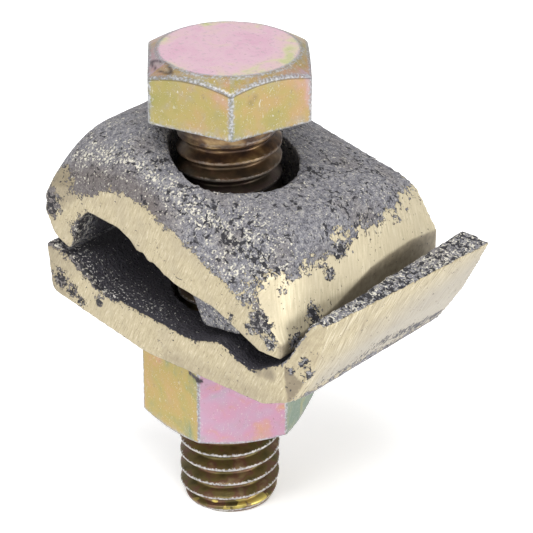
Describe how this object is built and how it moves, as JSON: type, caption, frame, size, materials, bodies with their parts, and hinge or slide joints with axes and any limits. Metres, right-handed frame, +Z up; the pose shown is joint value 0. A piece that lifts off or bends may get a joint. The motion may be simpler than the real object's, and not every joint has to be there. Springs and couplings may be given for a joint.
{
  "type": "cable to plate ground connector",
  "caption": "Two-piece cast brass clamp on a hex bolt and nut that closes on a ground cable and bolts to a plate.",
  "frame": {"origin": "on the bolt's axis at the underside of the base casting, where the base seats on a plate", "axes": "+Z up along the bolt to its head, +X across the clamp towards the flared lip, +Y along the cable towards the back end"},
  "size_m": [0.0343, 0.0221, 0.0458],
  "materials": {
    "casting": "sand-cast skin, ground bright at the ends and flank",
    "plated_steel": "yellow zinc plating with pink and green tints, worn at the edges"
  },
  "bodies": {
    "base": {"clamp_base": "casting"},
    "saddle": {"clamp_saddle": "casting"},
    "bolt": {"hex_bolt": "plated_steel"},
    "nut": {"hex_nut": "plated_steel"}
  },
  "joints": [
    {"name": "saddle_lift", "type": "slide", "parent": "base", "child": "saddle", "axis": [0, 0, 1], "range_m": [0, 0.0026]},
    {"name": "nut_turn", "type": "hinge", "parent": "base", "child": "nut", "pos_m": [0, 0, -0.0047], "axis": [0, 0, -1], "range_deg": [0, 1800]},
    {"name": "bolt_travel", "type": "slide", "parent": "base", "child": "bolt", "axis": [0, 0, 1], "range_m": [0, 0.00794]}
  ],
  "couplings": [
    {"joint": "bolt_travel", "follows": "nut_turn", "m_per_rad": 0.00025266}
  ]
}
